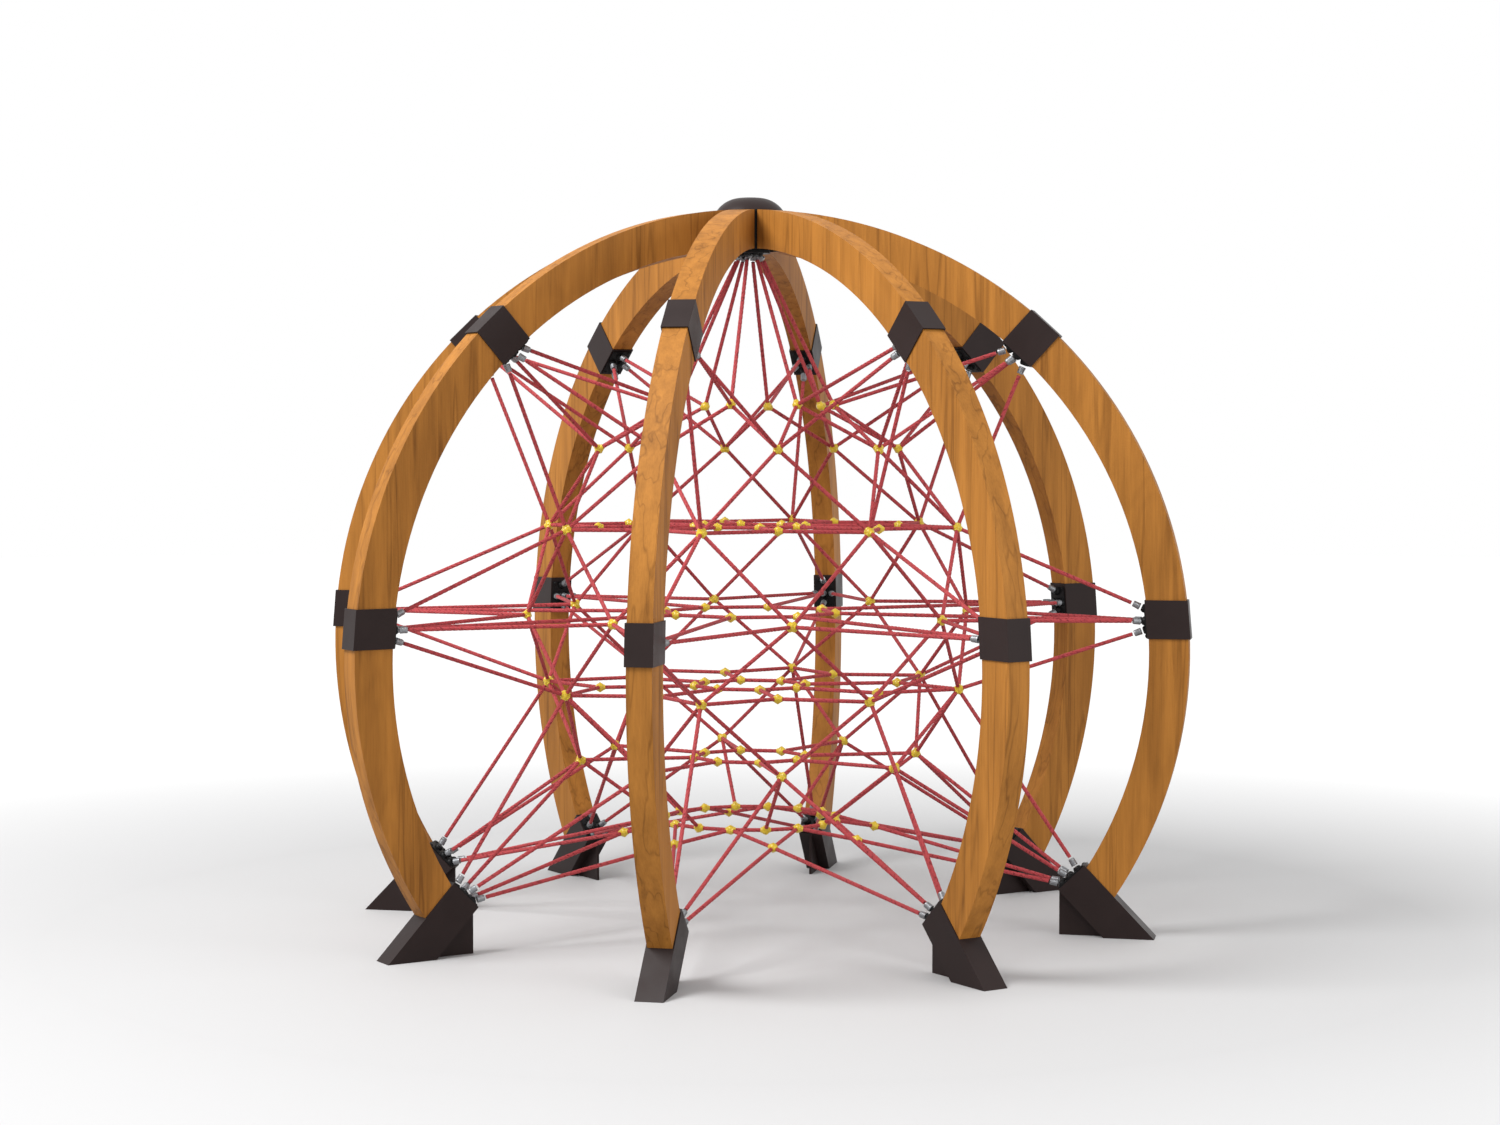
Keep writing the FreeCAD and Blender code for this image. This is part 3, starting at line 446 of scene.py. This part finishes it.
def plated(name, rgb, roughness):
    """Bare or plated metal with fine wear."""
    finish = Finish(name, Metallic=1.0)
    place = finish.place()
    wear = finish.noise(place, 60.0, detail=4.0, roughness=0.6)
    finish.feed(finish.shader.inputs["Base Color"],
                finish.mix(finish.ranged(wear, 0.3, 0.7), opaque(rgb, brightness=0.78),
                           opaque(rgb)))
    finish.feed(finish.shader.inputs["Roughness"],
                finish.ranged(wear, 0.3, 0.7, roughness - 0.05, roughness + 0.12))
    finish.bump(wear, strength=0.1, distance=0.0003)
    return finish.material


class DOME_OT_brown_steel(bpy.types.Operator):
    """Finishes the shoes, the collars and the hub's cap in brown powder coat"""
    bl_idname = "dome_climber.brown_steel"
    bl_label = "Shoes, collars and cap"

    def execute(self, context):
        steel = context.scene.dome_steel
        coat = powder_coat("brown_powder_coat", steel.brown, steel.roughness)
        names = [f"{kind}_{leg}" for kind in ("foot_shoe", "middle_collar", "upper_collar")
                 for leg in LEGS]
        for name in names + ["hub_cap"]:
            new_piece(f"coated_{name}", eased(name, steel.edge, segments=2), coat,
                      "brown_steel", name)
        return {"FINISHED"}


class DOME_OT_black_steel(bpy.types.Operator):
    """Finishes the hub's core and plate and the domed rope anchors in black"""
    bl_idname = "dome_climber.black_steel"
    bl_label = "Hub and rope anchors"

    def execute(self, context):
        steel = context.scene.dome_steel
        coat = powder_coat("black_powder_coat", steel.black, steel.roughness)
        for name in BLACK_NODES:
            new_piece(f"coated_{name}", eased(name, steel.edge * FITTING_EDGE, segments=2),
                      coat, "black_steel", name)
        return {"FINISHED"}


class DOME_OT_fasteners(bpy.types.Operator):
    """Finishes the bolts and the nut in zinc, and the anchors' screws in black"""
    bl_idname = "dome_climber.fasteners"
    bl_label = "Bolts and screws"

    def execute(self, context):
        steel = context.scene.dome_steel
        zinc = plated("zinc_plate", steel.zinc, roughness=0.36)
        black = powder_coat("blackened_steel", steel.black, steel.roughness)
        for name in FASTENER_NODES:
            finish = black if name == "anchor_screws" else zinc
            new_piece(f"fitted_{name}", eased(name, steel.edge * FASTENER_EDGE, segments=1),
                      finish, "fastener", name)
        return {"FINISHED"}


# ---------------------------------------------------------------- ropes

# How often the yarns repeat: once round the rope, then in a metre of its length.
YARN_SCALE = (9.0, 420.0, 1.0)
FLECK_SCALE = (3.0, 60.0, 1.0)


def strand_yarn(rope):
    """Wrapped strands: yarns run round each strand, with darker flecks among them."""
    finish = Finish("strand_yarn", Roughness=0.6, Specular=0.25)
    lie = finish.node("UVMap", uv_map="lay").outputs["UV"]
    yarn = finish.noise(lie, YARN_SCALE, detail=3.0, roughness=0.6)
    fleck = finish.noise(lie, FLECK_SCALE, roughness=0.6)
    dark = finish.worked("ADD", finish.ranged(fleck, 0.52, 0.68, 0.0, 0.7),
                      finish.ranged(yarn, 0.35, 0.7, 0.0, 0.3))
    finish.feed(finish.shader.inputs["Base Color"],
                finish.mix(dark, opaque(rope.colour), opaque(rope.fleck)))
    finish.bump(yarn, strength=0.4, distance=0.0008)
    return finish.material


def twisted_rope(start, end, radius, rope):
    """One taut rope: a lobed section carried along its axis while it turns."""
    reach = (end - start).length
    steps = max(2, round(reach / rope.lay * SECTIONS_PER_LAY))
    twist = math.tau * reach / rope.lay
    bm = bmesh.new()
    made = bmesh.ops.create_circle(bm, segments=rope.strands * CORNERS_PER_STRAND,
                                   radius=radius)
    for index, corner in enumerate(made["verts"]):
        if index % CORNERS_PER_STRAND == 0:
            corner.co *= 1 - rope.groove
    ring = made["verts"] + list({edge for corner in made["verts"]
                                 for edge in corner.link_edges})
    bmesh.ops.spin(bm, geom=ring, cent=(0, 0, 0), axis=(0, 0, 1),
                   dvec=(0, 0, reach / steps), angle=twist, steps=steps,
                   use_merge=False, use_duplicate=False)
    bmesh.ops.recalc_face_normals(bm, faces=bm.faces)
    lay_strands(bm, twist / reach)
    bmesh.ops.holes_fill(bm, edges=[edge for edge in bm.edges if edge.is_boundary], sides=0)
    bmesh.ops.transform(bm, matrix=along(start, (end - start).normalized()), verts=bm.verts)
    return bm


def lay_strands(bm, twist):
    """Unwraps the rope: U goes once round it with the strands, V is the length along it."""
    lay = bm.loops.layers.uv.new("lay")
    for face in bm.faces:
        at = face.calc_center_median()
        centre = math.atan2(at.y, at.x) - twist * at.z
        for loop in face.loops:
            co = loop.vert.co
            turn = math.atan2(co.y, co.x) - twist * co.z
            turn += math.tau * round((centre - turn) / math.tau)
            loop[lay].uv = (turn / math.tau - math.floor(centre / math.tau), co.z)


def seated(end, other, balls):
    """A rope's end, carried on into the ball connector in front of it if there is one."""
    way = (end - other).normalized()
    for ball in balls:
        ahead = (ball - end).dot(way)
        if (ball - end).length < NEAR_BALL and ahead > 0:
            return end + way * ahead * ROPE_INTO_BALL
    return end


class DOME_OT_ropes(bpy.types.Operator):
    """Lays every rope of the net as six twisted strands"""
    bl_idname = "dome_climber.ropes"
    bl_label = "Ropes"

    def execute(self, context):
        rope = context.scene.dome_rope
        yarn = strand_yarn(rope)
        balls = [centre for node in CONNECTOR_NODES for centre, _ in meetings(node)]
        for node in ROPE_NODES:
            whole = bmesh.new()
            for (start, radius), (end, _) in rods(node):
                start, end = seated(start, end, balls), seated(end, start, balls)
                one = twisted_rope(start, end, radius, rope)
                mesh = bpy.data.meshes.new("rope")
                one.to_mesh(mesh)
                one.free()
                whole.from_mesh(mesh)
                bpy.data.meshes.remove(mesh)
            new_piece(f"twisted_{node}", whole, yarn, "rope", node, weighted=False)
        return {"FINISHED"}


# ---------------------------------------------------------------- connectors

CLEARLY_CROSSED = 0.2          # sine of the least angle between two ropes that sets a way
# Where lips and screws sit on a ball and their sizes, as shares of its radius.
LIP_SEAT = 0.70
LIP_REACH = 0.40
SCREW_SEAT = 0.985
SCREW_RADIUS = 0.26


def moulded(connector):
    """Glossy moulded plastic with a slight depth of tone."""
    finish = Finish("moulded_plastic", Roughness=0.34, Coat=0.2, Coat_roughness=0.15)
    scuff = finish.noise(finish.place(), 45.0, detail=4.0, roughness=0.6)
    finish.feed(finish.shader.inputs["Base Color"],
                finish.mix(finish.ranged(scuff, 0.3, 0.75), opaque(connector.colour),
                           opaque(connector.colour, brightness=0.82)))
    finish.bump(scuff, strength=0.06, distance=0.0005)
    return finish.material


def crossing(lines):
    """The point nearest to every line, each a (point, way) pair."""
    total = Matrix(((0, 0, 0), (0, 0, 0), (0, 0, 0)))
    pull = Vector()
    for point, way in lines:
        flat = Matrix.Identity(3) - Matrix([[a * b for b in way] for a in way])
        total = total + flat
        pull = pull + flat @ point
    return total.inverted() @ pull


def rope_ends():
    """(end, way into the rope) for both ends of every rope."""
    ends = []
    for node in ROPE_NODES:
        for (start, _), (end, _) in rods(node):
            way = (end - start).normalized()
            ends += [(start, way), (end, -way)]
    return ends


def meetings(node):
    """(centre, ways of its ropes) for each ball connector of a node."""
    ends = rope_ends()
    source = joined(node)
    found = []
    for group in solids(source):
        near = middle(group)
        lines = [end for end in ends if (end[0] - near).length < NEAR_BALL]
        if len(lines) < 2:
            raise RuntimeError(f"{node}: a connector meets {len(lines)} ropes")
        found.append((crossing(lines), [way for _, way in lines]))
    source.free()
    return found


def free_way(ways):
    """The way that points least along any rope, where a connector's screws go."""
    crosses = [way.cross(earlier) for index, way in enumerate(ways)
               for earlier in ways[:index]]
    choices = [cross.normalized() for cross in crosses if cross.length > CLEARLY_CROSSED]
    return min(choices, key=lambda choice: max(abs(choice.dot(way)) for way in ways))


def ball_profile(radius):
    """A ball with a shallow parting groove round its middle."""
    groove = radius * 0.05
    lower = [(0.0, -radius)]
    for angle in (-60, -35, -6):
        turn = math.radians(angle)
        lower.append((radius * math.cos(turn), radius * math.sin(turn)))
    return lower + [(radius - groove, 0.0)] + [(out, -up) for out, up in reversed(lower)]


def lip_profile(radius, reach):
    """A short lip that narrows outwards, closed at both ends."""
    return [(0.0, 0.0), (radius * 1.25, 0.0), (radius * 1.1, reach * 0.75),
            (radius, reach), (0.0, reach)]


def screw_profile(radius):
    """A low screw head with a dished drive."""
    return [(0.0, -0.001), (radius, -0.001), (radius, 0.0012), (radius * 0.6, 0.0020),
            (radius * 0.45, 0.0006), (0.0, 0.0006)]


class DOME_OT_connectors(bpy.types.Operator):
    """Makes the moulded ball connectors with a lip for each rope and a screw on each half"""
    bl_idname = "dome_climber.connectors"
    bl_label = "Ball connectors"

    def execute(self, context):
        connector = context.scene.dome_connector
        plastic = moulded(connector)
        radius = connector.ball
        ball = turned(ball_profile(radius), steps=16)
        lip = turned(lip_profile(connector.lip, radius * LIP_REACH), steps=12)
        screw = turned(screw_profile(radius * SCREW_RADIUS), steps=8)
        for node in CONNECTOR_NODES:
            whole = bmesh.new()
            for centre, ways in meetings(node):
                up = free_way(ways)
                stamp(whole, ball, along(centre, up))
                for way in ways:
                    stamp(whole, lip, along(centre + way * radius * LIP_SEAT, way))
                for side in (up, -up):
                    stamp(whole, screw, along(centre + side * radius * SCREW_SEAT, side))
            new_piece(f"moulded_{node}", whole, plastic, "connector", node)
        return {"FINISHED"}


# ---------------------------------------------------------------- ferrules

def ferrule_profile(wide, narrow, reach):
    """A pressed ferrule: a plain collar, three pressed waists and a tapered nose."""
    points = [(0.0, 0.0), (wide * 0.93, 0.0), (wide, reach * 0.05)]
    for step in (0.30, 0.47, 0.64):
        body = wide + (narrow - wide) * step
        points += [(body * 1.01, reach * (step - 0.055)), (body * 0.955, reach * step),
                   (body * 1.01, reach * (step + 0.055))]
    return points + [(narrow * 1.02, reach * 0.93), (narrow * 0.94, reach), (0.0, reach)]


class DOME_OT_ferrules(bpy.types.Operator):
    """Presses a ferrule on the end of each rope that reaches an arch or the hub"""
    bl_idname = "dome_climber.ferrules"
    bl_label = "Ferrules"

    def execute(self, context):
        ferrule = context.scene.dome_ferrule
        metal = plated("pressed_aluminium", ferrule.colour, ferrule.roughness)
        for node in FERRULE_NODES:
            places = rods(node)
            (start, wide), (end, narrow) = places[0]
            shape = turned(ferrule_profile(wide, narrow, (end - start).length), steps=12)
            whole = bmesh.new()
            for (start, _), (end, _) in places:
                stamp(whole, shape, along(start, (end - start).normalized()))
            bpy.data.meshes.remove(shape)
            new_piece(f"pressed_{node}", whole, metal, "ferrule", node)
        return {"FINISHED"}


# ---------------------------------------------------------------- stage

KEY_PLACE = Vector((-5.6, -5.8, 11.0))
SIDE_PLACE = Vector((7.5, -4.0, 4.0))
SIDE_SHARE = 0.09              # power of the side light as a share of the key's


def soft_light(name, place, target, size, power):
    """A round soft light that faces a target."""
    light = bpy.data.lights.new(name, "AREA")
    light.shape = "DISK"
    light.size = size
    light.energy = power
    lamp = bpy.data.objects.new(name, light)
    lamp.location = place
    lamp.rotation_euler = (target - place).to_track_quat("-Z", "Y").to_euler()
    bpy.context.scene.collection.objects.link(lamp)


class DOME_OT_stage(bpy.types.Operator):
    """Sets the pale floor, the soft lights, the white surroundings and the camera"""
    bl_idname = "dome_climber.stage"
    bl_label = "Stage"

    def execute(self, context):
        stage = context.scene.dome_stage
        self.lay_floor(context, stage)
        self.light(context, stage)
        self.set_camera(context, stage)
        return {"FINISHED"}

    def lay_floor(self, context, stage):
        """A round floor whose own colour fades into the white of the sky."""
        finish = Finish("studio_floor", Roughness=0.7, Specular=0.2)
        out = finish.node("VectorMath", {0: finish.place()}, operation="LENGTH")
        far = finish.ranged(out.outputs["Value"], stage.fade_start, stage.fade_end)
        finish.feed(finish.shader.inputs["Base Color"],
                    finish.mix(far, opaque(stage.floor_colour), BLACK))
        finish.feed(finish.shader.inputs["Emission Color"], WHITE)
        finish.feed(finish.shader.inputs["Emission Strength"],
                    finish.worked("MULTIPLY", far, stage.sky))
        bm = bmesh.new()
        bmesh.ops.create_circle(bm, cap_ends=True, segments=96, radius=stage.floor)
        mesh = bpy.data.meshes.new("studio_floor")
        bm.to_mesh(mesh)
        bm.free()
        floor = bpy.data.objects.new("studio_floor", mesh)
        mesh.materials.append(finish.material)
        context.scene.collection.objects.link(floor)

    def light(self, context, stage):
        world = bpy.data.worlds.new("white_studio")
        world.use_nodes = True
        sky = world.node_tree.nodes["Background"]
        sky.inputs["Color"].default_value = WHITE
        sky.inputs["Strength"].default_value = stage.sky
        context.scene.world = world
        context.scene.view_settings.view_transform = "Standard"
        _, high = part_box("arch_beam_1")
        target = Vector((0.0, 0.0, high[2] / 2))
        soft_light("key", KEY_PLACE, target, size=6.0, power=stage.key)
        soft_light("side", SIDE_PLACE, target, size=4.0, power=stage.key * SIDE_SHARE)

    def set_camera(self, context, stage):
        lens = bpy.data.cameras.new("camera")
        lens.lens = stage.lens
        lens.sensor_width = 36.0
        camera = bpy.data.objects.new("camera", lens)
        out = Vector((math.sin(stage.azimuth), -math.cos(stage.azimuth), 0.0))
        camera.location = out * stage.distance + Vector((0.0, 0.0, stage.height))
        look = -out * math.cos(stage.pitch) - Vector((0.0, 0.0, math.sin(stage.pitch)))
        camera.rotation_euler = look.to_track_quat("-Z", "Y").to_euler()
        context.scene.collection.objects.link(camera)
        context.scene.camera = camera


# ---------------------------------------------------------------- add-on

OPERATORS = [DOME_OT_timber_arches, DOME_OT_brown_steel, DOME_OT_black_steel,
             DOME_OT_fasteners, DOME_OT_ropes, DOME_OT_connectors, DOME_OT_ferrules,
             DOME_OT_stage]
SETTINGS = {"dome_timber": TimberSettings, "dome_steel": SteelSettings,
            "dome_rope": RopeSettings, "dome_connector": ConnectorSettings,
            "dome_ferrule": FerruleSettings, "dome_stage": StageSettings}


class DOME_PT_builder(bpy.types.Panel):
    """Lists the operators in their order, then every setting"""
    bl_idname = "DOME_PT_builder"
    bl_label = "Dome climber"
    bl_space_type = "VIEW_3D"
    bl_region_type = "UI"
    bl_category = "Dome climber"

    def draw(self, context):
        for operator in OPERATORS:
            self.layout.operator(operator.bl_idname)
        for name, group in SETTINGS.items():
            box = self.layout.box()
            box.label(text=name.replace("_", " ").capitalize())
            for value in group.__annotations__:
                box.prop(getattr(context.scene, name), value)


def register():
    for group in SETTINGS.values():
        bpy.utils.register_class(group)
    for name, group in SETTINGS.items():
        setattr(bpy.types.Scene, name, PointerProperty(type=group))
    for operator in OPERATORS:
        bpy.utils.register_class(operator)
    bpy.utils.register_class(DOME_PT_builder)


def unregister():
    bpy.utils.unregister_class(DOME_PT_builder)
    for operator in reversed(OPERATORS):
        bpy.utils.unregister_class(operator)
    for name, group in SETTINGS.items():
        delattr(bpy.types.Scene, name)
        bpy.utils.unregister_class(group)


def main():
    """Makes every piece and the stage."""
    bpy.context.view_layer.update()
    register()
    bpy.ops.dome_climber.timber_arches()
    bpy.ops.dome_climber.brown_steel()
    bpy.ops.dome_climber.black_steel()
    bpy.ops.dome_climber.fasteners()
    bpy.ops.dome_climber.ropes()
    bpy.ops.dome_climber.connectors()
    bpy.ops.dome_climber.ferrules()
    bpy.ops.dome_climber.stage()


if __name__ == "__main__":
    main()
